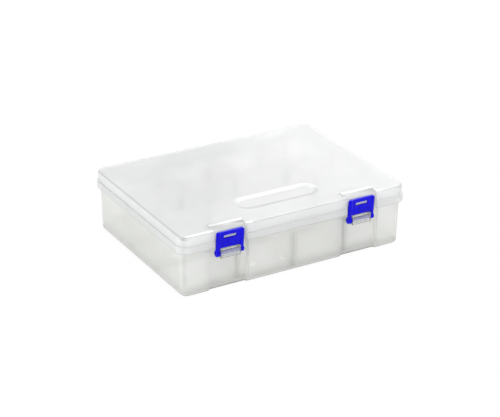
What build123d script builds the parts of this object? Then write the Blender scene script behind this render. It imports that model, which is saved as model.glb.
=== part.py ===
from build123d import *
import os
from math import asin, degrees, radians, tan

# Compartment storage box: a frosted tray with fixed partitions, lift-out dividers,
# a lid hinged along the back and two finger latches along the front.
# Millimetres. X runs along the front, the latches face -Y, Z is up.
# The origin is the middle of the footprint, on the table.

# Overall sizes
box_length = 235.0            # over the lid's lip, left to right
box_depth = 173.0             # over the lid's lip, front to back
lid_top_height = 59.5         # table to the flat of the lid
lip_corner_radius = 11.0      # corner of the lip in plan

# Lid
lid_wall = 1.5                # side walls and lip
lid_top_wall = 1.6            # flat top
lid_upper_height = 9.3        # from the flat top down to the step above the lip
lip_height = 7.0              # outside of the lip
lip_stands_out = 1.3          # the lip stands out from the upper wall
lid_top_round = 1.6           # edge between the flat top and the walls
lip_edge_round = 0.6          # outer edges of the lip

# Name panel recess in the lid, left bare
panel_length = 86.0
panel_width = 26.0
panel_depth = 0.8
panel_slope = 5.0             # how far the recess wall leans in from its edge
panel_from_front = 37.5       # lip to the middle of the recess

# Tray
tray_wall = 1.7
tray_floor = 1.8
tray_draft = 1.0              # degrees that the outer walls lean in towards the table
tray_bottom_round = 3.7
tray_inner_round = 2.0        # inside edge between floor and wall
lip_overhang = 3.4            # lip to the tray wall below it
flange_height = 2.0           # band round the tray that the lid's step sits over
flange_gap = 0.4              # band to the inside of the lip
seat_gap = 0.2                # band to the underside of the step
rim_rebate = 0.4              # the rim inside the lid stands in from the wall
rim_gap = 1.4                 # top of the rim to the underside of the lid

# Bays: recesses in the front and back walls, one at each latch and each hinge
station_from_end = 49.4       # end of the lip to the middle of a latch or hinge
bay_width = 39.0
bay_depth = 5.3               # from the tray wall at the rim
bay_corner_round = 1.5

# Compartments
row_count = 3
column_count = 4
partition_wall = 1.6
divider_thickness = 1.2
divider_side_gap = 0.15       # divider to each slot rib
divider_end_gap = 0.15        # divider to each wall
divider_below_rim = 1.0
divider_bead_thickness = 2.2  # grip bead along the top edge
divider_bead_height = 2.0
divider_bead_inset = 3.0      # bead end to divider end
divider_corner = 2.5          # bottom corners, cut to clear the floor's edge
divider_top_round = 2.0
divider_bead_round = 0.5
rib_width = 1.6
rib_depth = 1.6
rib_height = 35.5             # floor to the top of a slot rib

# Latches
latch_width = 27.2
latch_pin_below_lip = 7.0     # lower edge of the lip down to the pin's axis
latch_pin_behind_lip = 3.3    # lip's outer face to the pin's axis, inward
latch_pin_radius = 1.8
latch_pin_clearance = 0.1
latch_eye_radius = 3.0
latch_leg_width = 3.6
latch_top_drop = 2.5          # flat of the lid down to the shut latch's top edge
latch_panel_gap = 0.2         # lower edge of the panel to the clip, also as the latch turns
latch_inner_face = 0.8        # pin axis to the latch's inner face, inward
latch_panel_face = 1.2        # pin axis to the panel's outer face, outward
latch_rail_face = 1.7         # pin axis to the side rails' outer face, outward
latch_corner_round = 2.2
latch_rail_round = 0.9
latch_slot_length = 13.2
latch_slot_height = 3.4
latch_slot_drop = 7.75        # flat of the lid down to the middle of the shut latch's slot
latch_edge_round = 0.4        # top edge of the latch and rims of its eyes

# Clip on the tray that holds the latch's pin
clip_side_gap = 0.2           # clip to each latch leg
clip_radius = 5.0
clip_front = 3.2              # pin axis to the clip's flat front
clip_mouth = 3.0              # opening under the pin, narrower than the pin

# Lid hood over each latch, with the wall and tooth that the latch snaps onto
hood_width = 33.0
hood_rise = 1.5               # above the flat of the lid
hood_slope_drop = 2.3         # flat of the lid down to the foot of the sloped front
hood_slope_depth = 2.6        # the slope, front to back
hood_top_depth = 6.0
hood_back_depth = 2.0
hood_wall = 1.5
hood_edge_round = 0.5
keeper_gap = 0.3              # keeper wall to the shut latch
keeper_drop = 14.3            # flat of the lid down to the lower edge of the keeper wall
gusset_depth = 3.2            # side gusset of the keeper wall
tooth_reach = 0.9             # how far the tooth stands into the shut latch's slot
tooth_gap = 0.4               # tooth to each edge of the slot
tooth_chamfer = 0.3           # eases the tooth's upper edge
tooth_clearance = 0.125       # tooth to the latch at rest, where the latch stands just off it

# Back hinges: a bar between two ears on the tray, a snap hook on the lid
hinge_outside_tray = 1.6      # tray wall at the band to the hinge axis, outward
hinge_knuckle_radius = 3.8
hinge_bar_radius = 2.0
hinge_clearance = 0.1
hinge_hook_width = 16.0
hinge_side_gap = 0.3          # hook to each ear
hinge_ear_width = 3.5
hinge_lip_gap = 0.3           # ear to the lip as the lid swings
hinge_mouth = 3.4             # opening of the hook, narrower than the bar
hinge_stem_height = 5.0       # hook's stem on the back of the lip

overlap = 0.5                 # how far a boss runs into the wall that carries it

# Heights worked out from the sizes above
lid_underside = lid_top_height - lid_top_wall
lip_top = lid_top_height - lid_upper_height
lip_bottom = lip_top - lip_height
step_underside = lip_top - lid_wall
flange_top = step_underside - seat_gap
rim_top = lid_underside - rim_gap
divider_top = rim_top - divider_below_rim
hood_top = lid_top_height + hood_rise
hood_slope_start = lid_top_height - hood_slope_drop
keeper_bottom = lid_top_height - keeper_drop
latch_pin_z = lip_bottom - latch_pin_below_lip

# Half sizes of the tray at the band, and of its inside at the same height
tray_half_length = box_length / 2 - lip_overhang
tray_half_depth = box_depth / 2 - lip_overhang
tray_corner = lip_corner_radius - lip_overhang
inside_corner = tray_corner - tray_wall

# Bays, rows and columns
bay_face = tray_half_depth - bay_depth
bay_inside = bay_face - tray_wall
row_pitch = (2 * bay_inside + partition_wall) / row_count
row_depth = row_pitch - partition_wall
column_pitch = 2 * (tray_half_length - tray_wall) / column_count
slot_width = divider_thickness + 2 * divider_side_gap
divider_length = row_depth - 2 * divider_end_gap

row_middles = [(row - (row_count - 1) / 2) * row_pitch for row in range(row_count)]
partition_middles = [middle + row_pitch / 2 for middle in row_middles[:-1]]
column_lines = [(line - column_count / 2) * column_pitch for line in range(1, column_count)]
station_offset = box_length / 2 - station_from_end
stations = {"left": -station_offset, "right": station_offset}

# Latch pin, and the lid's keeper wall behind the shut latch
latch_pin_y = -(box_depth / 2 - latch_pin_behind_lip)
latch_inner_y = latch_pin_y + latch_inner_face
keeper_y = latch_inner_y + keeper_gap
hood_back_y = keeper_y + hood_slope_depth + hood_top_depth + hood_back_depth
clip_width = latch_width - 2 * latch_leg_width - 2 * clip_side_gap

# The latch's heights above its pin, latch shut
latch_top = lid_top_height - latch_top_drop - latch_pin_z
latch_panel_bottom = clip_radius + latch_panel_gap
slot_middle = lid_top_height - latch_slot_drop - latch_pin_z
tooth_low = slot_middle - latch_slot_height / 2 + tooth_gap
tooth_high = slot_middle + latch_slot_height / 2 - tooth_gap

# At rest the latch leans out just far enough for the lid's tooth to pass behind it
latch_rest_tilt = degrees(asin((tooth_reach + tooth_clearance) / tooth_low))

# Hinge axis
hinge_y = tray_half_depth + hinge_outside_tray
hinge_z = lip_bottom - hinge_knuckle_radius - hinge_lip_gap

print("lid hinge axis: y %.3f z %.3f" % (hinge_y, hinge_z))
print("latch pin axis: y %.3f z %.3f" % (latch_pin_y, latch_pin_z))
print("latch lean at rest: %.3f degrees" % latch_rest_tilt)


def span(x_low, x_high, y_low, y_high, z_low, z_high):
    """A box between two corners."""
    size = (x_high - x_low, y_high - y_low, z_high - z_low)
    middle = ((x_low + x_high) / 2, (y_low + y_high) / 2, (z_low + z_high) / 2)
    return Pos(*middle) * Box(*size)


def straight_block(half_length, half_depth, corner, z_low, z_high):
    """An upright block with rounded corners in plan."""
    outline = Pos(0, 0, z_low) * RectangleRounded(2 * half_length, 2 * half_depth, corner)
    return extrude(outline, amount=z_high - z_low)


def drafted_block(half_length, half_depth, corner, z_low, z_high, z_size, bottom_round):
    """A block whose walls lean in downwards. Its half sizes are those at the height z_size."""
    lean = (z_high - z_size) * tan(radians(tray_draft))
    outline = RectangleRounded(2 * (half_length + lean), 2 * (half_depth + lean), corner + lean)
    block = extrude(Pos(0, 0, z_high) * outline, amount=z_high - z_low, dir=(0, 0, -1), taper=tray_draft)
    bottom = block.faces().sort_by(Axis.Z)[0]
    return fillet(bottom.edges(), bottom_round)


def profile_x(points, x_middle, width):
    """A prism along X from a closed outline of (y, z) points."""
    outline = Plane.YZ * make_face(Polyline(*points, close=True))
    return Pos(x_middle - width / 2, 0, 0) * extrude(outline, amount=width, dir=(1, 0, 0))


def rod_x(y, z, radius, x_middle, width):
    """A round bar along X."""
    return Pos(x_middle, y, z) * Rot(0, 90, 0) * Cylinder(radius, width)


def bay(x_middle, side, wall):
    """The space of one bay, grown by a wall, at the front (side -1) or the back (side 1)."""
    half = bay_width / 2 + wall
    near = bay_face - wall
    far = box_depth
    block = span(x_middle - half, x_middle + half, near, far, -overlap, rim_top + overlap)
    inner = block.edges().filter_by(Axis.Z).group_by(Axis.Y)[0]
    rounded = fillet(inner, bay_corner_round)
    return rounded if side > 0 else mirror(rounded, about=Plane.XZ)


def all_bays(wall):
    """The four bays as one shape."""
    shapes = [bay(x, side, wall) for x in stations.values() for side in (-1, 1)]
    return shapes[0] + shapes[1:]


def slot_ribs(inside):
    """Pairs of upright ribs on both walls of each row, trimmed to the inside of the tray."""
    offset = (slot_width + rib_width) / 2
    ribs = []
    for row, middle in enumerate(row_middles):
        for side in (-1, 1):
            wall = middle + side * row_depth / 2
            at_outer_wall = row == (0 if side < 0 else row_count - 1)
            root = side * box_depth / 2 if at_outer_wall else wall + side * overlap
            y_low, y_high = sorted((root, wall - side * rib_depth))
            for line in column_lines:
                for x in (line - offset, line + offset):
                    ribs.append(span(x - rib_width / 2, x + rib_width / 2, y_low, y_high,
                                     tray_floor - overlap, tray_floor + rib_height))
    return (ribs[0] + ribs[1:]) & inside


def latch_clip(x_middle):
    """The solid clip that stands out of a front bay and holds the latch's pin."""
    y = latch_pin_y
    z = latch_pin_z
    root = -bay_face + overlap
    x_low = x_middle - clip_width / 2
    x_high = x_middle + clip_width / 2
    beyond = 2 * clip_radius
    barrel = rod_x(y, z, clip_radius, x_middle, clip_width)
    arm = span(x_low, x_high, y, root, z - clip_radius, z + clip_radius)
    front = span(x_low, x_high, y - beyond, y - clip_front, z - beyond, z + beyond)
    bore = rod_x(y, z, latch_pin_radius + latch_pin_clearance, x_middle, clip_width)
    mouth = span(x_low, x_high, y - clip_mouth / 2, y + clip_mouth / 2, z - beyond, z)
    return barrel + arm - front - bore - mouth


def hinge_ears(x_middle):
    """Two ears that stand out of a back bay, and the bar between them."""
    inner = hinge_hook_width / 2 + hinge_side_gap
    outer = inner + hinge_ear_width
    middle = (inner + outer) / 2
    shapes = []
    for hand in (-1, 1):
        x = x_middle + hand * middle
        web = span(x - hinge_ear_width / 2, x + hinge_ear_width / 2, bay_face - overlap, hinge_y,
                   hinge_z - hinge_knuckle_radius, hinge_z + hinge_knuckle_radius)
        shapes.append(rod_x(hinge_y, hinge_z, hinge_knuckle_radius, x, hinge_ear_width) + web)
    return rod_x(hinge_y, hinge_z, hinge_bar_radius, x_middle, 2 * middle) + shapes


def base_tray():
    """The tray: walls, floor, bays, partitions, slot ribs, latch clips and hinge ears."""
    walls = drafted_block(tray_half_length, tray_half_depth, tray_corner,
                          0, flange_top, flange_top, tray_bottom_round)
    rim = straight_block(tray_half_length - rim_rebate, tray_half_depth - rim_rebate,
                         tray_corner - rim_rebate, flange_top - flange_height, rim_top)
    flange_out = lip_overhang - lid_wall - flange_gap
    flange = straight_block(tray_half_length + flange_out, tray_half_depth + flange_out,
                            tray_corner + flange_out, flange_top - flange_height, flange_top)
    inside = drafted_block(tray_half_length - tray_wall, tray_half_depth - tray_wall, inside_corner,
                           tray_floor, rim_top, flange_top, tray_inner_round)
    inside -= all_bays(tray_wall)
    shell = walls + rim + flange - all_bays(0) - inside

    partitions = [span(-tray_half_length, tray_half_length, y - partition_wall / 2, y + partition_wall / 2,
                       tray_floor - overlap, divider_top) & inside for y in partition_middles]
    clips = [latch_clip(x) for x in stations.values()]
    ears = [hinge_ears(x) for x in stations.values()]
    return shell + partitions + slot_ribs(inside) + clips + ears


def panel_recess():
    """A shallow stadium with leaning walls, sunk into the lid for its name panel."""
    y = panel_from_front - box_depth / 2
    bottom = SlotOverall(panel_length - 2 * panel_slope, panel_width - 2 * panel_slope)
    top = SlotOverall(panel_length, panel_width)
    return loft([Pos(0, y, lid_top_height - panel_depth) * bottom, Pos(0, y, lid_top_height) * top])


def hood_space(x_middle):
    """The space that the lid gives up for a hood and the latch in front of it."""
    return span(x_middle - hood_width / 2, x_middle + hood_width / 2, -box_depth, hood_back_y,
                lip_bottom - overlap, hood_top + overlap)


def hood(x_middle):
    """One hood over a latch: a hollow roof with the keeper wall, its side gussets and its tooth."""
    slope_end = keeper_y + hood_slope_depth
    top_end = slope_end + hood_top_depth
    gusset_y = keeper_y + gusset_depth
    outer = [(keeper_y, keeper_bottom), (keeper_y, hood_slope_start), (slope_end, hood_top),
             (top_end, hood_top), (hood_back_y, lid_top_height), (hood_back_y, lid_underside),
             (gusset_y, lid_underside), (gusset_y, keeper_bottom)]
    # Half a wall at the bends keeps the sloped walls as thick as the straight ones
    bend = hood_wall / 2
    ceiling = hood_top - hood_wall
    below = keeper_bottom - overlap
    hollow = [(keeper_y + hood_wall, below), (keeper_y + hood_wall, hood_slope_start - bend),
              (slope_end + bend, ceiling), (top_end - bend, ceiling),
              (hood_back_y - bend, lid_underside), (hood_back_y, lid_underside), (hood_back_y, below)]
    solid = profile_x(outer, x_middle, hood_width)
    solid = fillet(solid.faces().sort_by(Axis.Z)[-1].edges(), hood_edge_round)
    return solid - profile_x(hollow, x_middle, hood_width - 2 * hood_wall) + keeper_tooth(x_middle)


def pocket_cheeks(x_middle):
    """The two side walls of a latch's pocket, still to be trimmed to the outside of the lid."""
    near = hood_width / 2
    far = near + hood_wall
    cheeks = [span(x_middle + x_low, x_middle + x_high, -box_depth, keeper_y + hood_wall,
                   lip_bottom, lid_underside + overlap) for x_low, x_high in ((-far, -near), (near, far))]
    return cheeks[0] + cheeks[1]


def keeper_tooth(x_middle):
    """The tooth that the shut latch's slot catches, with its upper edge eased."""
    half = latch_slot_length / 2 - tooth_gap
    tip = latch_inner_y - tooth_reach
    tooth = span(x_middle - half, x_middle + half, tip, keeper_y + overlap,
                 latch_pin_z + tooth_low, latch_pin_z + tooth_high)
    edge = tooth.edges().filter_by(Axis.X).group_by(Axis.Y)[0].sort_by(Axis.Z)[-1]
    return chamfer(edge, tooth_chamfer)


def hinge_hook(x_middle):
    """The snap hook under the back of the lip, open towards the tray."""
    stem_top = lip_bottom + hinge_stem_height
    x_low = x_middle - hinge_hook_width / 2
    x_high = x_middle + hinge_hook_width / 2
    lip_inside = box_depth / 2 - lid_wall
    back = hinge_y + hinge_knuckle_radius
    beyond = hinge_y - 2 * hinge_knuckle_radius
    stem = profile_x([(lip_inside, hinge_z), (back, hinge_z), (back, lip_bottom), (box_depth / 2, stem_top),
                      (lip_inside, stem_top)], x_middle, hinge_hook_width)
    bore = rod_x(hinge_y, hinge_z, hinge_bar_radius + hinge_clearance, x_middle, hinge_hook_width)
    mouth = span(x_low, x_high, beyond, hinge_y, hinge_z - hinge_mouth / 2, hinge_z + hinge_mouth / 2)
    return rod_x(hinge_y, hinge_z, hinge_knuckle_radius, x_middle, hinge_hook_width) + stem - bore - mouth


def lid():
    """The lid without its hoods: flat top, stepped walls, name panel recess and hinge hooks."""
    half_length = box_length / 2
    half_depth = box_depth / 2
    upper = straight_block(half_length - lip_stands_out, half_depth - lip_stands_out,
                           lip_corner_radius - lip_stands_out, lip_bottom, lid_top_height)
    upper = fillet(upper.faces().sort_by(Axis.Z)[-1].edges(), lid_top_round)
    lip = straight_block(half_length, half_depth, lip_corner_radius, lip_bottom, lip_top)
    lip = fillet(lip.faces().filter_by(Axis.Z).edges(), lip_edge_round)
    wall_in = lip_stands_out + lid_wall
    inside = straight_block(half_length - wall_in, half_depth - wall_in, lip_corner_radius - wall_in,
                            lip_bottom - overlap, lid_underside)
    lip_inside = straight_block(half_length - lid_wall, half_depth - lid_wall, lip_corner_radius - lid_wall,
                                lip_bottom - overlap, step_underside)
    outside = upper + lip
    shell = outside - inside - lip_inside
    shell = shell - panel_recess()
    for x in stations.values():
        shell = shell - hood_space(x) + (pocket_cheeks(x) & outside) + hinge_hook(x)
    return shell


def latch():
    """One latch, shut, with its pin on the X axis: panel, side rails, eyes, slot and pin."""
    half = latch_width / 2
    panel = span(-half, half, -latch_panel_face, latch_inner_face, latch_panel_bottom, latch_top)
    legs = []
    for hand in (-1, 1):
        x_low, x_high = sorted((hand * half, hand * (half - latch_leg_width)))
        rail = span(x_low, x_high, -latch_rail_face, latch_inner_face, 0, latch_top)
        rail = fillet(rail.edges().filter_by(Axis.Z).group_by(Axis.Y)[0], latch_rail_round)
        eye = rod_x(0, 0, latch_eye_radius, (x_low + x_high) / 2, latch_leg_width)
        eye = fillet(eye.edges().filter_by(GeomType.CIRCLE), latch_edge_round)
        legs.append(rail + eye)
    frame = panel + legs + rod_x(0, 0, latch_pin_radius, 0, latch_width - latch_leg_width)
    beyond = 2 * latch_eye_radius
    outline = span(-half, half, -beyond, beyond, -beyond, latch_top)
    frame = frame & fillet(outline.edges().filter_by(Axis.Y).group_by(Axis.Z)[-1], latch_corner_round)
    slot = Pos(0, 0, slot_middle) * Box(latch_slot_length, 2 * beyond, latch_slot_height)
    return frame - fillet(slot.edges().filter_by(Axis.Y), latch_edge_round)


def divider():
    """One lift-out divider, standing on the table, with a grip bead along its top edge."""
    height = divider_top - tray_floor
    half = divider_length / 2
    plate = Pos(0, 0, height / 2) * Box(divider_thickness, divider_length, height)
    across = plate.edges().filter_by(Axis.X)
    plate = chamfer(across.group_by(Axis.Z)[0], divider_corner)
    plate = fillet(plate.edges().filter_by(Axis.X).group_by(Axis.Z)[-1], divider_top_round)
    bead_half = half - divider_bead_inset
    bead = span(-divider_bead_thickness / 2, divider_bead_thickness / 2, -bead_half, bead_half,
                height - divider_bead_height, height)
    bead = fillet(bead.edges().filter_by(Axis.Y).group_by(Axis.Z)[-1], divider_bead_round)
    return plate + bead


def all_parts():
    """Every node's name and solid, at rest in the box's own frame."""
    parts = {"base_tray": base_tray(), "lid": lid()}
    shut_latch = latch()
    for side, x in stations.items():
        # A hood is moulded with the lid, and only stands as a solid of its own here
        parts["lid_hood_" + side] = hood(x)
        parts["latch_" + side] = Pos(x, latch_pin_y, latch_pin_z) * Rot(latch_rest_tilt, 0, 0) * shut_latch
    one_divider = divider()
    for row, y in enumerate(row_middles):
        for slot, x in enumerate(column_lines):
            name = "divider_row_%d_slot_%d" % (row + 1, slot + 1)
            parts[name] = Pos(x, y, tray_floor) * one_divider
    return parts


os.makedirs("parts", exist_ok=True)
for node, solid in all_parts().items():
    export_step(solid, "parts/" + node + ".step")
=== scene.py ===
# %% [markdown]
# # A frosted compartment box
# The object is a shallow storage box moulded in frosted plastic: a tray with twelve compartments,
# a lid hinged at the back, and two blue finger latches at the front. Its solids come ready from
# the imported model, in metres, with every piece where it belongs. What is left for this lesson is
# what makes it look real: the plastics, the rounded hoods over the latches, the light and the
# camera.

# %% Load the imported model
import math

import bmesh
import bpy
from mathutils import Matrix, Vector


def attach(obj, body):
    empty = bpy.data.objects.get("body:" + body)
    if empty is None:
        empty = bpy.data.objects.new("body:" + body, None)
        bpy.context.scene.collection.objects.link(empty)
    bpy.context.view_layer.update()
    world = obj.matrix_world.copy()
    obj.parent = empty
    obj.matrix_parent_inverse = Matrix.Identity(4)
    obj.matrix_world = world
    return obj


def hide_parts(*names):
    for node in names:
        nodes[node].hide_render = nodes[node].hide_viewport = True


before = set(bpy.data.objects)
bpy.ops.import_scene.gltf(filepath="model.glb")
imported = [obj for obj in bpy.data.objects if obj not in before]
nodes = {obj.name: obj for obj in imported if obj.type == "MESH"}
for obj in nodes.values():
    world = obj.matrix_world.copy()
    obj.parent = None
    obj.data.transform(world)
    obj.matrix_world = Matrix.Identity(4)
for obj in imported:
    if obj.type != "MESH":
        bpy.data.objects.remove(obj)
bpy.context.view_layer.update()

# %% [markdown]
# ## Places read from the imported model
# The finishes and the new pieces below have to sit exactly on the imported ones. So the main places
# aren't typed in but read from the meshes, in millimetres: the middle of a latch, the lines of
# the dividers, the outer faces of the lid and the block of a hood. The left half of the box
# mirrors the right one, so one side is enough.

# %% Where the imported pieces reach
MM = 0.001


def reach(name, axis):
    """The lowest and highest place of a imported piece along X, Y or Z, in millimetres."""
    values = [vertex.co["XYZ".index(axis)] / MM for vertex in nodes[name].data.vertices]
    return round(min(values), 2), round(max(values), 2)


def middle_of(name):
    """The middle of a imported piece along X, in millimetres."""
    return round(sum(reach(name, "X")) / 2, 2)


station = middle_of("latch_right")
divider_lines = [middle_of("divider_row_1_slot_%d" % slot) for slot in (1, 2, 3)]
lid_side = reach("lid", "X")[1]
lid_front = reach("lid", "Y")[0]
lid_top = reach("lid", "Z")[1]
hood_half = round(reach("lid_hood_right", "X")[1] - station, 2)
tooth_tip, hood_back = reach("lid_hood_right", "Y")
keeper_low, hood_top = reach("lid_hood_right", "Z")
print("latches at", station, "dividers at", divider_lines, "lid and hood tops", lid_top, hood_top)

# %% [markdown]
# ## Small helpers for materials
# Every finish here is a chain of nodes, and adding and linking them by hand takes five lines a
# node. The first helper adds one node, sets its sockets, and links a socket where the value is
# another node's output, so that a finish reads as a short recipe. The second starts a material,
# and the third lays two layers over each other.

# %% One call for one node
def put(tree, kind, sockets=None, **settings):
    """Adds a node. A socket's value is a number, a colour, or another node's output."""
    made = tree.nodes.new("ShaderNode" + kind)
    for name, value in settings.items():
        setattr(made, name, value)
    for name, value in (sockets or {}).items():
        if isinstance(value, bpy.types.NodeSocket):
            tree.links.new(value, made.inputs[name])
        else:
            made.inputs[name].default_value = value
    return made


def new_finish(name):
    """An empty material: the material, its node tree, its output node and Object coordinates."""
    material = bpy.data.materials.new(name)
    material.use_nodes = True
    tree = material.node_tree
    tree.nodes.clear()
    output = put(tree, "OutputMaterial")
    place = put(tree, "TexCoord").outputs["Object"]
    return material, tree, output, place


def mixed(tree, share, first, second):
    """Two shaders in one. A share of 0 is the first alone."""
    return put(tree, "MixShader", {0: share, 1: first.outputs[0], 2: second.outputs[0]})


print("node helpers ready")

# %% [markdown]
# ## Patterns that moulded plastic shows
# A moulded wall is never quite even. The steel mould is spark-eroded, which leaves a fine grain.
# The melt flows in long bands, so the cloudiness drifts over a few centimetres. Handling leaves
# faint scuffs. Each is one noise texture on Object coordinates, in metres, so a scale of 1000
# gives a pattern of about a millimetre.

# %% Noise, a spread of values and a blend of colours
def noise(tree, place, scale, detail=2.0, stretch=(1, 1, 1)):
    """A noise texture's value. stretch squeezes the pattern along an axis."""
    where = put(tree, "Mapping", {"Vector": place, "Scale": stretch}).outputs["Vector"]
    made = put(tree, "TexNoise", {"Vector": where, "Scale": scale, "Detail": detail})
    return made.outputs["Fac"]


def between(tree, value, low, high, from_low=0.3, from_high=0.7):
    """Spreads a value over low to high. The usual limits suit a noise texture."""
    made = put(tree, "MapRange", {"Value": value, "From Min": from_low, "From Max": from_high,
                                  "To Min": low, "To Max": high})
    return made.outputs["Result"]


def tint(tree, share, first, second):
    """A colour between two others, each of them fixed or another node's output."""
    ends = [end if isinstance(end, bpy.types.NodeSocket) else (*end, 1) for end in (first, second)]
    made = put(tree, "Mix", {"Factor": share, "A": ends[0], "B": ends[1]}, data_type="RGBA")
    return made.outputs["Result"]


print("patterns ready")

# %% [markdown]
# ## Where shade is painted
# Natural polypropylene is milky. Light that crosses a flat wall straight on loses little. At an
# edge, at the foot of the tray and where two walls lie behind each other the plastic looks greyer,
# and these lines are what makes a frosted box readable, so each finish gets painted shade there
# through masks: values that are 1 at such a place and 0 elsewhere. They are plain sums, and these
# helpers keep the sums short.

# %% Sums for masks
def maths(tree, operation, first, second=0.0):
    """One sum of two values."""
    return put(tree, "Math", {0: first, 1: second}, operation=operation).outputs[0]


def times(tree, first, *more):
    """The product of all the values."""
    for value in more:
        first = maths(tree, "MULTIPLY", first, value)
    return first


def largest(tree, first, *more):
    """The largest of the values, which lays masks over each other."""
    for value in more:
        first = maths(tree, "MAXIMUM", first, value)
    return first


def apart(tree, value, middle=0.0):
    """How far a value lies from the middle, on either side."""
    return maths(tree, "ABSOLUTE", maths(tree, "SUBTRACT", value, middle))


print("sums ready")

# %% [markdown]
# ## Where a point lies and which way it faces
# A mask starts from a point's place or from the direction of the surface there. A band along one
# of the three directions is the commonest of them: a lip, a rib or a line is one or two bands.

# %% Places, directions and bands
def parts(tree, vector):
    """The X, Y and Z of a place or a direction."""
    return put(tree, "SeparateXYZ", {"Vector": vector}).outputs


def facing(tree):
    """The direction in which the surface looks, in the piece's own axes."""
    return parts(tree, put(tree, "TexCoord").outputs["Normal"])


def band(tree, value, low, high, soft):
    """1 between two values, falling to 0 over the soft distance."""
    above = between(tree, value, 0.0, 1.0, low - soft, low)
    below = between(tree, value, 1.0, 0.0, high, high + soft)
    return times(tree, above, below)


print("bands ready")

# %% [markdown]
# ## Edges
# A sharp edge of the model is found with the Bevel node, which gives the normal that the surface
# would have if its sharp edges were rounded: where that normal turns away from the true one,
# there is an edge. A rounded edge of the model is found by its normal, which lies along no axis:
# the largest of its three parts falls from 1 on a flat wall to about 0.75 in the edge's middle.

# %% Masks for edges
edge_radius = 0.5 * MM
edge_middle, edge_end = 0.75, 0.99
turned_far, turned_little = 0.85, 0.998


def softened(tree):
    """The surface's normal with its sharp edges a little rounded."""
    return put(tree, "Bevel", {"Radius": edge_radius}, samples=4).outputs["Normal"]


def rounded_edges(tree):
    """0 on the flat walls and 1 in the middle of a rounded edge, whatever way it runs."""
    along = [apart(tree, part) for part in facing(tree)]
    return between(tree, largest(tree, *along), 1.0, 0.0, edge_middle, edge_end)


def sharp_edges(tree, soft_normal):
    """1 at a sharp edge, falling to 0 where the softened normal is the true one again."""
    true_normal = put(tree, "NewGeometry").outputs["Normal"]
    alike = put(tree, "VectorMath", {0: soft_normal, 1: true_normal}, operation="DOT_PRODUCT")
    return between(tree, alike.outputs["Value"], 1.0, 0.0, turned_far, turned_little)


print("edges are softened over", edge_radius / MM, "mm")

# %% [markdown]
# ## The satin skin
# What comes back from the plastic's surface is a soft shine, finely grained by the mould and a
# little uneven where it was handled. The refractive index is set higher than the plastic's own,
# because only a part of the finish is skin and the shine would come out too weak.

# %% Skin
grain_scale, grain_depth, grain_strength = 2600, 0.02 * MM, 0.10
scuff_scale, scuff_stretch = 170, (1, 6, 1)
smoothest, roughest = 0.13, 0.23
skin_index, skin_shine = 2.1, 0.8


def satin_skin(tree, place, colour, soft_normal):
    """The surface layer of the frosted plastic."""
    grain = noise(tree, place, grain_scale, detail=1.0)
    scuffs = noise(tree, place, scuff_scale, detail=6.0, stretch=scuff_stretch)
    grained = put(tree, "Bump", {"Height": grain, "Strength": grain_strength,
                                 "Distance": grain_depth, "Normal": soft_normal})
    return put(tree, "BsdfPrincipled", {
        "Base Color": colour,
        "Roughness": between(tree, scuffs, smoothest, roughest),
        "IOR": skin_index,
        "Specular IOR Level": skin_shine,
        "Normal": grained.outputs["Normal"]})


print("skin roughness:", smoothest, "to", roughest)

# %% [markdown]
# ## Frosted polypropylene
# The tray, the lid and the dividers are one plastic. A Principled node alone, with its light
# sent through, turned grainy and hid the inside, so the finish is built in layers as the real
# one works: part of the light goes straight through and shows what is behind, part goes through
# and spreads, and the rest comes back from the skin. The masks paint shade into all three at the
# edges, the lines and the foot, and at a slant the light that goes straight through has further
# to go and turns greyer.

# %% The layered plastic
cloud_scale, flow_scale, flow_stretch = 22, 60, (0.35, 1, 1.6)
least_cloudy, most_cloudy, cloud_drift = 0.12, 0.4, 0.02
# The second tint is for light that goes straight through at a slant and for painted shade, and the next
# colour is the colour of painted shade.
straight_tint, slant_and_shade_tint = (0.988, 0.987, 0.988), (0.44, 0.445, 0.43)
painted_shade_colour = (0.54, 0.552, 0.525)
slant_power, polish, shiny_skin = 2.6, 0.75, 0.45


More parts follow.
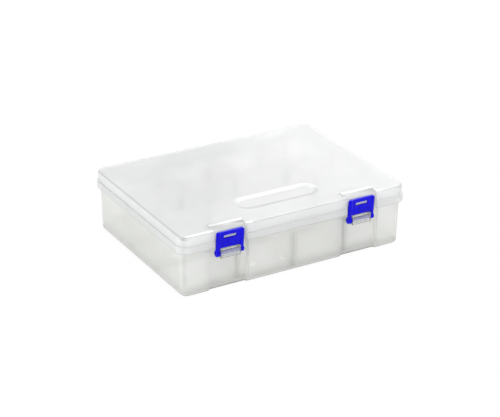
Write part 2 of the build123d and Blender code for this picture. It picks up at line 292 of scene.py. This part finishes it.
def frosted(name, colours, shares, edge_shares, shade_mask, clearer=None, highlights_and_marks=None):
    """A milky plastic. Painted shade comes from the masks for edges and from the piece's own mask
    for shade. clearer gives the places where a polished mould left the plastic clearer, and the
    mask for shine those where a larger share of skin paints highlights on the lid and whitens
    pale marks on the tray."""
    clear_share, milk_share = shares
    skin_share = 1 - clear_share - milk_share
    round_share, sharp_share = edge_shares
    material, tree, output, place = new_finish(name)
    soft_normal = softened(tree)
    # Painted shade: the masks for edges and the piece's own mask grey the plastic.
    grey = largest(tree, times(tree, rounded_edges(tree), round_share),
                   times(tree, sharp_edges(tree, soft_normal), sharp_share), shade_mask(tree, place))
    # Where the mask for shine is 1 no shade is painted, and a larger share of skin paints highlights on the
    # lid and whitens pale marks on the tray.
    if highlights_and_marks:
        bright = highlights_and_marks(tree, place)
        grey = times(tree, grey, maths(tree, "SUBTRACT", 1.0, bright))
        skin_share = between(tree, bright, skin_share, shiny_skin, 0.0, 1.0)

    clouds = noise(tree, place, cloud_scale, detail=3.0)
    flow = noise(tree, place, flow_scale, detail=4.0, stretch=flow_stretch)
    cloudy = between(tree, times(tree, clouds, flow), 0, 1, least_cloudy, most_cloudy)
    # The painted shade greys the colour of the spreading light and of the skin.
    colour = tint(tree, grey, tint(tree, cloudy, *colours), painted_shade_colour)

    slant = maths(tree, "POWER", put(tree, "LayerWeight", {"Blend": 0.5}).outputs["Facing"], slant_power)
    # The light that goes straight through is greyer at a slant, and also where shade is painted.
    straight_colour = tint(tree, largest(tree, slant, grey), straight_tint, slant_and_shade_tint)
    straight = put(tree, "BsdfTransparent", {"Color": straight_colour})
    spread = put(tree, "BsdfTranslucent", {"Color": colour})
    usual = milk_share / (milk_share + clear_share)
    spread_share = between(tree, clouds, usual - cloud_drift, usual + cloud_drift)
    if clearer:
        less = times(tree, clearer(tree, place), polish * usual)
        spread_share = maths(tree, "SUBTRACT", spread_share, less)
    through = mixed(tree, spread_share, straight, spread)
    whole = mixed(tree, skin_share, through, satin_skin(tree, place, colour, soft_normal))
    tree.links.new(whole.outputs[0], output.inputs["Surface"])
    return material


print("frosted recipe ready")

# %% [markdown]
# ## The latch clips
# Two solid clips on the tray carry the latches' pins. They come from a polished part of the
# mould, so the blue pin shows through their middle. Shade is painted on their top, and painted
# dark lines at their foot and ends stand for the look along a thick wall. A mask needs the
# clip's own place.

# %% Masks for the clips
station_x = station * MM
clip_half, clip_back = 10.6 * MM, -79.5 * MM
clip_low, clip_high, clip_soft = 29.0 * MM, 43.0 * MM, 0.1 * MM
clip_share, clip_top_share, clip_line_share = 0.05, 0.70, 0.95
clip_top_from, clip_top_to = 37.0 * MM, 39.5 * MM
clip_foot_from, clip_foot_to = 31.9 * MM, 32.4 * MM
clip_end_from, clip_end_to = 9.3 * MM, 9.8 * MM


def from_station(tree, x):
    """The distance along the box from the middle of the nearer latch."""
    return apart(tree, apart(tree, x), station_x)


def clips(tree, place):
    """1 in the two clips, 0 elsewhere."""
    x, y, z = parts(tree, place)
    return times(tree, maths(tree, "LESS_THAN", from_station(tree, x), clip_half),
                 maths(tree, "LESS_THAN", y, clip_back), band(tree, z, clip_low, clip_high, clip_soft))


def clip_painted_shade(tree, place):
    """Painted shade at the top of a clip, clear in the middle, and a painted dark line at its foot and its
    ends.
    """
    x, _, z = parts(tree, place)
    top = between(tree, z, clip_share, clip_top_share, clip_top_from, clip_top_to)
    foot = between(tree, z, clip_line_share, 0.0, clip_foot_from, clip_foot_to)
    end = between(tree, from_station(tree, x), 0.0, clip_line_share, clip_end_from, clip_end_to)
    return times(tree, clips(tree, place), largest(tree, top, foot, end))


print("clips at", station, "mm on either side")

# %% [markdown]
# ## Painted shade at the tray's foot and ribs
# Shade is painted at the tray's foot, where wall and floor meet, and at the pairs of ribs that
# hold the dividers. The painted shade of the foot fades upwards over a centimetre and a half,
# above a painted dark line at the very bottom. Only upright faces get it: on the floor it would
# turn the whole box grey.

# %% Painted shade on the tray
foot_soft, foot_share, foot_power = 16.0 * MM, 0.66, 1.7
foot_line_from, foot_line_to, foot_line_share = 1.0 * MM, 3.2 * MM, 0.98
upright_to, flat_from = 0.75, 0.97
rib_from, rib_to, rib_soft, rib_share = 0.75 * MM, 2.35 * MM, 0.2 * MM, 0.12
rib_foot, rib_top, rib_top_soft = -1.0 * MM, 37.3 * MM, 0.3 * MM


def tray_painted_shade(tree, place):
    """Painted shade at the foot, the ribs and the clips."""
    x, _, z = parts(tree, place)
    upright = between(tree, apart(tree, facing(tree)["Z"]), 1.0, 0.0, upright_to, flat_from)
    # Painted shade that fades up from the foot, and a painted dark line at the very bottom.
    fade = maths(tree, "POWER", between(tree, z, foot_share, 0.0, 0.0, foot_soft), foot_power)
    line = between(tree, z, foot_line_share, 0.0, foot_line_from, foot_line_to)
    grey = times(tree, largest(tree, fade, line), upright)
    # Painted shade along the pairs of ribs.
    for line_x in divider_lines:
        across = band(tree, apart(tree, x, line_x * MM), rib_from, rib_to, rib_soft)
        rib = times(tree, across, band(tree, z, rib_foot, rib_top, rib_top_soft), rib_share)
        grey = largest(tree, grey, rib)
    return largest(tree, grey, clip_painted_shade(tree, place))


print("pairs of ribs at", divider_lines, "mm")

# %% [markdown]
# ## Two pale marks
# The front wall has a pale crescent and a soft pale spot. Both are masks again: a ring cut to an
# arc, and a round blur. More light comes back from the skin there, so the plastic looks whiter.

# %% Pale marks on the front wall
wall_front = -82.0 * MM
crescent_x, crescent_z, crescent_in, crescent_out, crescent_soft = -11.2 * MM, 19.0 * MM, 4.4 * MM, 5.2 * MM, 0.4 * MM
crescent_low, crescent_high, crescent_end_soft, crescent_share = 13.4 * MM, 19.2 * MM, 0.6 * MM, 0.7
spot_x, spot_z, spot_size, spot_share = -43.7 * MM, 16.8 * MM, 3.6 * MM, 0.6


def away(tree, place, middle_x, middle_z):
    """The distance on the front wall from a point."""
    x, _, z = parts(tree, place)
    across = maths(tree, "POWER", maths(tree, "SUBTRACT", x, middle_x), 2.0)
    up = maths(tree, "POWER", maths(tree, "SUBTRACT", z, middle_z), 2.0)
    return maths(tree, "SQRT", maths(tree, "ADD", across, up))


def wall_marks(tree, place):
    """The crescent and the spot."""
    x, y, z = parts(tree, place)
    ring = band(tree, away(tree, place, crescent_x, crescent_z), crescent_in, crescent_out, crescent_soft)
    crescent = times(tree, ring, band(tree, z, crescent_low, crescent_high, crescent_end_soft),
                     maths(tree, "LESS_THAN", x, crescent_x), crescent_share)
    spot = between(tree, away(tree, place, spot_x, spot_z), spot_share, 0.0, 0.0, spot_size)
    return times(tree, largest(tree, crescent, spot), maths(tree, "LESS_THAN", y, wall_front))


print("marks at x", round(crescent_x / MM, 1), "and", round(spot_x / MM, 1), "mm")

# %% [markdown]
# ## The tray's plastic
# With its masks ready, the tray gets a milky variant, a faintly greenish white. Each variant has
# two colours, for its clearer and its cloudier parts, the shares of light that go straight
# through and spread, and how much painted shade its rounded and its sharp edges get.

# %% Tray
tray_colours = (0.895, 0.900, 0.878), (0.870, 0.875, 0.853)
tray_shares, tray_edges = (0.52, 0.28), (0.22, 0.50)
frosted_tray = frosted("frosted tray", tray_colours, tray_shares, tray_edges, tray_painted_shade,
                       clearer=clips, highlights_and_marks=wall_marks)
print("finish:", frosted_tray.name)

# %% [markdown]
# ## Painted shade on the lid's lip and walls
# The lid's lip lies over the tray's band, so two walls lie behind each other there: the lip gets
# painted shade, and its rim a painted line. Through the flat one looks along the side and back
# walls, end on, and a painted grey line 2 mm inside the lip stands for that.

# %% Painted shade on the lid
lip_high = (lid_top - 9.3) * MM
lip_low = lip_high - 7.0 * MM
lip_soft, lip_share = 0.4 * MM, 0.08
rim_height, rim_soft, rim_share = 0.7 * MM, 0.3 * MM, 0.33
line_inset, line_width, line_soft, line_share = 2.0 * MM, 1.1 * MM, 0.5 * MM, 0.30
side_line = lid_side * MM - line_inset
back_line = -lid_front * MM - line_inset
top_edge_share, upper_from = 0.58, (lid_top - 3.5) * MM


def lid_painted_shade(tree, place):
    """Painted shade on the lip, its rim, the walls seen end on, and the rounded top edges."""
    x, y, z = parts(tree, place)
    side = band(tree, apart(tree, x), side_line - line_width, side_line, line_soft)
    back = band(tree, y, back_line - line_width, back_line, line_soft)
    end_on = times(tree, largest(tree, side, back), line_share)
    edge = times(tree, rounded_edges(tree), top_edge_share)
    upper = times(tree, largest(tree, end_on, edge), maths(tree, "GREATER_THAN", z, upper_from))
    lip = times(tree, band(tree, z, lip_low, lip_high, lip_soft), lip_share)
    rim = times(tree, band(tree, z, lip_low, lip_low + rim_height, rim_soft), rim_share)
    return largest(tree, upper, lip, rim)


print("lip from", round(lip_low / MM, 2), "to", round(lip_high / MM, 2), "mm")

# %% [markdown]
# ## Painted highlights on the lid
# The crests of the hoods catch the lamps most, and so does the lid's front top edge, left of the
# left hood and just right of each hood. The lamps light them, and a larger share of skin there,
# put in by a mask, paints the highlights stronger.

# %% Painted highlights on the lid
crest_low, crest_half = (hood_top - 0.45) * MM, (hood_half + 0.5) * MM
front_edge, front_low = (lid_front + 4.5) * MM, (lid_top - 0.4) * MM
shine_from, shine_to, shine_soft = -111.0 * MM, -86.0 * MM, 3.0 * MM
glint_length, glint_soft = 5.0 * MM, 1.5 * MM


def lid_painted_highlights(tree, place):
    """Painted highlights on the crests and on the pieces of the front edge."""
    x, y, z = parts(tree, place)
    crest = times(tree, maths(tree, "GREATER_THAN", z, crest_low),
                  maths(tree, "LESS_THAN", from_station(tree, x), crest_half))
    edge = times(tree, maths(tree, "GREATER_THAN", z, front_low), maths(tree, "LESS_THAN", y, front_edge))
    along = band(tree, x, shine_from, shine_to, shine_soft)
    for hood_x in (-station_x, station_x):
        start = hood_x + crest_half
        along = largest(tree, along, band(tree, x, start, start + glint_length, glint_soft))
    return largest(tree, crest, times(tree, edge, along))


print("crests above", round(crest_low / MM, 2), "mm")

# %% [markdown]
# ## The lid's plastic
# The lid looks clearer than the tray and a little bluer. Its rounded top edges get painted shade
# in its own masks already, so the general painted shade at edges is weak.

# %% Lid
lid_colours = (0.980, 0.982, 0.992), (0.962, 0.964, 0.980)
lid_shares, lid_edges = (0.58, 0.22), (0.15, 0.10)
frosted_lid = frosted("frosted lid", lid_colours, lid_shares, lid_edges, lid_painted_shade, highlights_and_marks=lid_painted_highlights)
print("finish:", frosted_lid.name)

# %% [markdown]
# ## The dividers' plastic
# A divider is a thin plate that stands across the rows. Through the front wall one looks at its
# end, along its whole depth, so its two ends get painted shade. It lets as much light through as
# the tray.

# %% Dividers
divider_colours = (0.930, 0.930, 0.915), (0.905, 0.905, 0.890)
divider_edges, divider_end_share = (0.32, 0.46), 0.45


def divider_painted_shade(tree, place):
    """Painted shade on the two ends of a divider, which face the front and the back."""
    return times(tree, apart(tree, facing(tree)["Y"]), divider_end_share)


frosted_divider = frosted("frosted divider", divider_colours, tray_shares, divider_edges, divider_painted_shade)
print("finish:", frosted_divider.name)

# %% [markdown]
# ## Blue latch plastic
# The latches are the same plastic with a strong blue pigment, so no light goes through. Pigment
# never mixes quite evenly: it leaves weak streaks along the flow, here up the latch. A polished
# mould gives a soft gloss, with a faint ripple that breaks the highlight on the rails.

# %% Blue plastic
streak_scale, ripple_scale, worn_scale = 420, 700, 1500
streak_stretch, worn_stretch = (1, 1, 0.25), (1, 1, 0.4)
ripple_depth, ripple_strength = 0.05 * MM, 0.12
polished, worn_dull = 0.24, 0.38
plastic_index, latch_shine = 1.49, 0.10
light_blue, deep_blue = (0.005, 0.001, 0.60), (0.003, 0.001, 0.44)


def pigmented(name, light, deep):
    """An opaque plastic with faint streaks of pigment and a soft gloss."""
    material, tree, output, place = new_finish(name)
    streaks = noise(tree, place, streak_scale, detail=3.0, stretch=streak_stretch)
    ripple = noise(tree, place, ripple_scale, detail=2.0)
    worn = noise(tree, place, worn_scale, detail=5.0, stretch=worn_stretch)
    rippled = put(tree, "Bump", {"Height": ripple, "Strength": ripple_strength,
                                 "Distance": ripple_depth, "Normal": softened(tree)})
    shader = put(tree, "BsdfPrincipled", {
        "Base Color": tint(tree, between(tree, streaks, 0, 1), light, deep),
        "Roughness": between(tree, worn, polished, worn_dull),
        "IOR": plastic_index,
        "Specular IOR Level": latch_shine,
        "Normal": rippled.outputs["Normal"]})
    tree.links.new(shader.outputs["BSDF"], output.inputs["Surface"])
    return material


blue_latch = pigmented("blue latch", light_blue, deep_blue)
print("latch finish:", blue_latch.name)

# %% [markdown]
# ## Give each piece its finish
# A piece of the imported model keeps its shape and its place, and only takes a material in its
# slots. The name says which plastic it is.

# %% Put the finishes on
def finish_for(name):
    """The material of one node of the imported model."""
    if name.startswith("latch"):
        return blue_latch
    if name.startswith("divider"):
        return frosted_divider
    return frosted_lid if name.startswith("lid") else frosted_tray


for name, piece in nodes.items():
    piece.data.materials.clear()
    piece.data.materials.append(finish_for(name))
print("dressed:", len(nodes), "nodes")

# %% [markdown]
# ## The hoods over the latches
# Over each latch the lid rises into a small hood, with the wall and the tooth that the latch
# snaps onto. On the real lid its crest is softly rounded, and that crest is the brightest line of
# the whole box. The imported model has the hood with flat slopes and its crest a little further
# forward. So the hood is built again here: one outline is drawn out along the box, its crest gets
# a wide bevel, and a smaller outline hollows it. The outlines are in millimetres.

# %% Draw out and round
def drawn_out(outline, middle, half):
    """A solid along X from a closed outline of (y, z) points in millimetres."""
    made = bmesh.new()
    corners = [made.verts.new(((middle - half) * MM, y * MM, z * MM)) for y, z in outline]
    end = made.faces.new(corners)
    grown = bmesh.ops.extrude_face_region(made, geom=[end])["geom"]
    moved = [part for part in grown if isinstance(part, bmesh.types.BMVert)]
    bmesh.ops.translate(made, verts=moved, vec=(2 * half * MM, 0, 0))
    bmesh.ops.recalc_face_normals(made, faces=made.faces)
    return made


def soften(made, chosen, radius, segments):
    """Rounds the edges that the test chooses, by their two ends."""
    edges = [edge for edge in made.edges if chosen(edge.verts[0].co, edge.verts[1].co)]
    bmesh.ops.bevel(made, geom=edges, offset=radius * MM, segments=segments, profile=0.5,
                    affect="EDGES", material=-1)


print("ready to draw out and round")

# %% [markdown]
# ## Cut and join
# A hollow is cut and a tooth joined on with Boolean modifiers. Each is worked out once and its
# result kept, so that the piece ends as a plain mesh and the tool can be thrown away.

# %% Objects, cuts and joins
def as_object(name, made):
    """A mesh object from a bmesh."""
    mesh = bpy.data.meshes.new(name)
    made.to_mesh(mesh)
    made.free()
    thing = bpy.data.objects.new(name, mesh)
    bpy.context.scene.collection.objects.link(thing)
    return thing


def combine(thing, tool, operation):
    """Cuts one object from another or joins it on, and throws the tool away."""
    step = thing.modifiers.new("combine", "BOOLEAN")
    step.operation = operation
    step.object = tool
    step.solver = "EXACT"
    result = thing.evaluated_get(bpy.context.evaluated_depsgraph_get())
    thing.data = bpy.data.meshes.new_from_object(result)
    thing.modifiers.clear()
    bpy.data.objects.remove(tool)


print("ready to cut and join")

# %% [markdown]
# ## The hood's outline
# The outline runs up the wall behind the latch, over the slope, along the crest, down to the
# lid's flat and back under it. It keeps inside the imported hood's block, and its other places are
# worked out from that block and from the lid's flat.

# %% Outline of the hood
tooth_length, keeper_depth, slope_depth, back_depth = 1.2, 3.2, 5.4, 2.6
slope_drop, lid_thick = 2.3, 1.6
keeper_y = tooth_tip + tooth_length
keeper_back = keeper_y + keeper_depth
slope_end = keeper_y + slope_depth
crest_end = hood_back - back_depth
slope_foot = lid_top - slope_drop
lid_under = lid_top - lid_thick

hood_outline = [(keeper_y, keeper_low), (keeper_y, slope_foot), (slope_end, hood_top),
                (crest_end, hood_top), (hood_back, lid_top), (hood_back, lid_under),
                (keeper_back, lid_under), (keeper_back, keeper_low)]
print("hood:", hood_top - lid_top, "mm above the lid,", 2 * hood_half, "mm wide")

# %% [markdown]
# ## The hollow and the tooth
# The inner outline follows the first a wall's thickness further in. It reaches a little below
# the hood, and the tooth's outline a little into the wall, because a cut or a join needs some
# overlap. The tooth's upper edge is eased, so that the latch slips over it.

# %% Outlines of the hollow and the tooth
hood_wall, overlap = 1.5, 0.5
crest_inset, back_inset = 0.5, 0.8
tooth_above_keeper, tooth_height, tooth_half, tooth_ease = 5.25, 2.6, 6.2, 0.3

inner_y = keeper_y + hood_wall
inner_top = hood_top - hood_wall
inner_low = keeper_low - overlap
inner_outline = [(inner_y, inner_low), (inner_y, slope_foot - hood_wall / 2),
                 (slope_end + crest_inset, inner_top), (crest_end - crest_inset, inner_top),
                 (hood_back - back_inset, lid_under), (hood_back, lid_under), (hood_back, inner_low)]

tooth_low = keeper_low + tooth_above_keeper
tooth_high = tooth_low + tooth_height
tooth_root = keeper_y + overlap
tooth_outline = [(tooth_tip, tooth_low), (tooth_tip, tooth_high - tooth_ease),
                 (tooth_tip + tooth_ease, tooth_high), (tooth_root, tooth_high), (tooth_root, tooth_low)]
print("tooth from", round(tooth_low, 2), "to", round(tooth_high, 2), "mm")

# %% [markdown]
# ## Round, hollow and place the hoods
# The two long edges of the crest get the wide bevel, and the edges of the two end faces that lie
# above the lid's underside a small one. Shading is smooth over every fold up to 32 degrees. Each
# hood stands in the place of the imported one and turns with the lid.

# %% The two hoods
crest_round, crest_steps = 1.2, 5
side_round, side_steps = 0.5, 3
near = 0.01
smooth_angle = math.radians(32)


def on_crest(a, b):
    """The crest's long edges."""
    return min(a.z, b.z) > (hood_top - near) * MM and abs(a.x - b.x) > hood_half * MM


def on_side(a, b):
    """The edges of the end faces above the lid's underside."""
    return (min(a.z, b.z) > lid_under * MM and abs(a.x - b.x) < near * MM
            and max(a.y, b.y) < (hood_back + near) * MM)


def hood_piece(side, middle):
    """One hood, hollow from below, with its tooth."""
    made = drawn_out(hood_outline, middle, hood_half)
    soften(made, on_crest, crest_round, crest_steps)
    soften(made, on_side, side_round, side_steps)
    piece = as_object("latch_hood_" + side, made)
    combine(piece, as_object("inside", drawn_out(inner_outline, middle, hood_half - hood_wall)), "DIFFERENCE")
    combine(piece, as_object("tooth", drawn_out(tooth_outline, middle, tooth_half)), "UNION")
    for face in piece.data.polygons:
        face.use_smooth = True
    piece.data.set_sharp_from_angle(angle=smooth_angle)
    piece.data.materials.clear()
    piece.data.materials.append(frosted_lid)
    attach(piece, "lid")
    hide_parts("lid_hood_" + side)
    return piece


hood_pieces = [hood_piece("left", -station), hood_piece("right", station)]
print("hoods:", [(piece.name, len(piece.data.polygons)) for piece in hood_pieces])

# %% [markdown]
# ## The camera
# The photograph was taken from the front left, a little from above, through a long lens: the
# far edges are almost as long as the near ones. The camera sits on a line from the middle of the
# box, turned by the azimuth and raised by the elevation, and its own axes are built from those
# two angles and a small roll. The lens comes from the photograph's perspective, in widths of the
# picture.

# %% Camera
azimuth, elevation, roll = -30.529, 25.174, 0.577
distance, box_middle = 1.576727, (0, 0, 0.030)
slide_right, slide_up = 1.188 * MM, -2.805 * MM
sensor_width, picture_width, lens_in_pixels = 36.0, 500, 1699.902


def look_from(azimuth, elevation, roll, distance, aim, aside, above):
    """The camera's matrix. aside and above slide it in its own picture plane."""
    a, e, r = (math.radians(v) for v in (azimuth, elevation, roll))
    back = Vector((math.sin(a) * math.cos(e), -math.cos(a) * math.cos(e), math.sin(e)))
    level = Vector((math.cos(a), math.sin(a), 0))
    upright = back.cross(level)
    right = math.cos(r) * level + math.sin(r) * upright
    up = math.cos(r) * upright - math.sin(r) * level
    spot = Vector(aim) + back * distance + right * aside + up * above
    turned = Matrix((right, up, back)).transposed().to_4x4()
    return Matrix.Translation(spot) @ turned


lens = bpy.data.cameras.new("camera")
lens.sensor_width = sensor_width
lens.lens = sensor_width * (lens_in_pixels / picture_width)
camera = bpy.data.objects.new("camera", lens)
camera.matrix_world = look_from(azimuth, elevation, roll, distance, box_middle, slide_right, slide_up)
bpy.context.scene.collection.objects.link(camera)
bpy.context.scene.camera = camera
print("camera at", [round(v, 3) for v in camera.matrix_world.translation], "lens", round(lens.lens, 1))

# %% [markdown]
# ## Floor
# The photograph is a cut-out look: plain white all round, with hardly a shadow. The floor is a
# pale plane. For rays from the camera, and for those that the plastic mirrors or lets through,
# most of its colour is plain white, and the rest is lit, so the box still shades it softly.

# %% Floor
floor_radius, floor_z, floor_white = 6.0, -0.3 * MM, 0.93
paper_scale, darker_paper, lighter_paper = 8, (0.93, 0.93, 0.93), (0.95, 0.95, 0.95)


def seen_directly(tree):
    """1 for rays from the camera, from a mirror or through glass, and 0 for the rest."""
    path = put(tree, "LightPath").outputs
    return largest(tree, path["Is Camera Ray"], path["Is Glossy Ray"], path["Is Transmission Ray"])


material, tree, output, place = new_finish("pale floor")
paper = noise(tree, place, paper_scale, detail=2.0)
lit = put(tree, "BsdfDiffuse", {"Color": tint(tree, paper, darker_paper, lighter_paper)})
white = put(tree, "Emission", {"Color": (1, 1, 1, 1), "Strength": 1.0})
floor_mix = mixed(tree, times(tree, seen_directly(tree), floor_white), lit, white)
tree.links.new(floor_mix.outputs[0], output.inputs["Surface"])

shape = bmesh.new()
bmesh.ops.create_circle(shape, cap_ends=True, segments=96, radius=floor_radius)
bmesh.ops.translate(shape, verts=shape.verts, vec=(0, 0, floor_z))
floor = as_object("floor", shape)
floor.data.materials.append(material)
print("floor:", floor_radius, "m")

# %% [markdown]
# ## Background
# The room lights the box evenly from all sides, a little cool. Whoever looks at it, straight or
# in a mirror, sees plain white.

# %% World
room_colour, room_strength = (0.97, 0.985, 1.0, 1), 0.86
world = bpy.data.worlds.new("studio")
world.use_nodes = True
bpy.context.scene.world = world
tree = world.node_tree
tree.nodes.clear()
soft_room = put(tree, "Background", {"Color": room_colour, "Strength": room_strength})
white_room = put(tree, "Background", {"Color": (1, 1, 1, 1), "Strength": 1.0})
room = mixed(tree, seen_directly(tree), soft_room, white_room)
put(tree, "OutputWorld", {"Surface": room.outputs[0]})
print("room strength:", room_strength)

# %% [markdown]
# ## Soft studio light
# A wall or a lid mirrors the part of the room that lies opposite to the camera, so each lamp has
# its place for one highlight. A tilt of the surface moves that place by twice the tilt. The lamp
# behind the box brightens the flat of the lid towards the right. The one over the back lights
# the sloped edge of the name panel and the crests of the hoods, and a small one the round end of
# the panel. The broad ones at the top, left and front light the lid and the two walls that the
# camera sees. All are soft, as in a light tent.

# %% Lamps
warm_white = (1.0, 0.995, 0.985)


def soft_lamp(name, place, width, height, power, colour=(1, 1, 1)):
    """A rectangular lamp that looks at the middle of the box. Its power is in watts."""
    data = bpy.data.lights.new(name, "AREA")
    data.shape = "RECTANGLE"
    data.size = width
    data.size_y = height
    data.energy = power
    data.color = colour
    lamp = bpy.data.objects.new(name, data)
    aim = Vector(box_middle) - Vector(place)
    lamp.matrix_world = Matrix.Translation(place) @ aim.to_track_quat("-Z", "Y").to_matrix().to_4x4()
    bpy.context.scene.collection.objects.link(lamp)
    return lamp


soft_lamp("right back lamp", place=(1.15, 1.15, 0.72), width=0.9, height=0.6, power=2.8)
soft_lamp("ridge lamp", place=(0.78, 0.62, 1.02), width=0.48, height=0.36, power=5.2, colour=warm_white)
soft_lamp("panel lamp", place=(0.60, 0.97, 0.90), width=0.2, height=0.2, power=1.5)
soft_lamp("top lamp", place=(0.67, -0.30, 1.23), width=0.9, height=0.5, power=8.2)
soft_lamp("left lamp", place=(-1.5, -0.35, 0.55), width=1.0, height=0.8, power=15.0)
soft_lamp("front lamp", place=(-0.5, -1.5, 0.60), width=1.2, height=0.7, power=1.0)
bpy.context.scene.view_settings.view_transform = "Standard"
